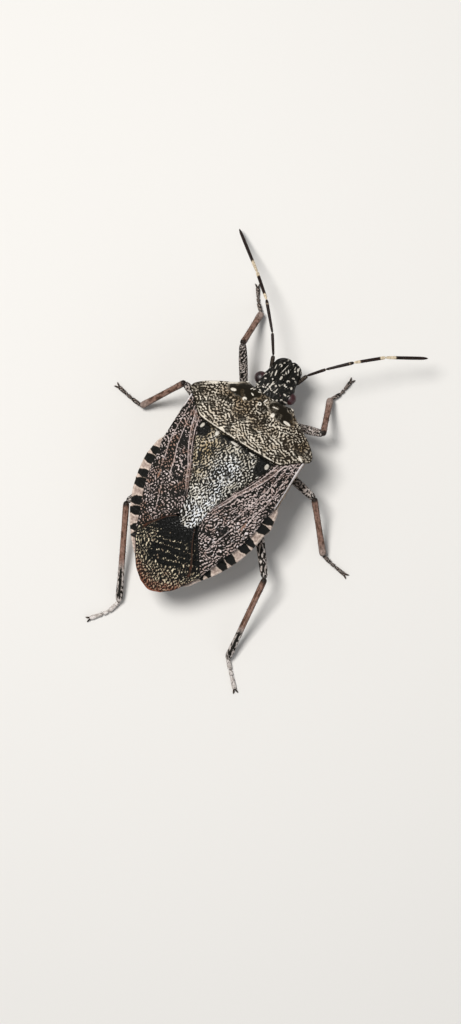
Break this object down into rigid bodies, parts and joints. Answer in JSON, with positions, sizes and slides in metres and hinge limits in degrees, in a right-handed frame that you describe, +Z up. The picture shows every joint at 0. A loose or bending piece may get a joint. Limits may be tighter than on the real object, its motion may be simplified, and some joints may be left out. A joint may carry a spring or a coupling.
{
  "type": "shield bug",
  "caption": "Life-size shield bug standing on spread legs, with folded wings, a domed shield-shaped back and feelers held forward.",
  "frame": {"origin": "centre of the bounding box, on the plane that the feet stand on", "axes": "+Z up, -Y towards the head, +X towards the bug's left"},
  "size_m": [0.018, 0.0246, 0.0058],
  "materials": {
    "head_shell": "black with pale streaks, pitted",
    "eye": "dark red-brown, glossy, finely faceted",
    "feeler_shell": "dark brown with pale rings",
    "back_shell": "grey-cream marbled with black pits, faint sheen",
    "wing_leather": "mauve-brown, pitted, with pinkish veins",
    "wing_membrane": "smoky, thin, with dark streaks along the veins",
    "belly_shell": "pale cream underside, black and cream banded margin",
    "leg_shell": "cream speckled with black, brown shins"
  },
  "bodies": {
    "root": {"head": "head_shell", "eye_left": "eye", "eye_right": "eye", "antenna_left": "feeler_shell", "antenna_right": "feeler_shell", "beak": "leg_shell", "pronotum": "back_shell", "scutellum": "back_shell", "thorax": "belly_shell", "abdomen": "belly_shell", "forewing_left": "wing_leather", "forewing_right": "wing_leather", "membrane_left": "wing_membrane", "membrane_right": "wing_membrane", "leg_front_left": "leg_shell", "leg_front_right": "leg_shell", "leg_middle_left": "leg_shell", "leg_middle_right": "leg_shell", "leg_hind_left": "leg_shell", "leg_hind_right": "leg_shell"}
  },
  "joints": []
}
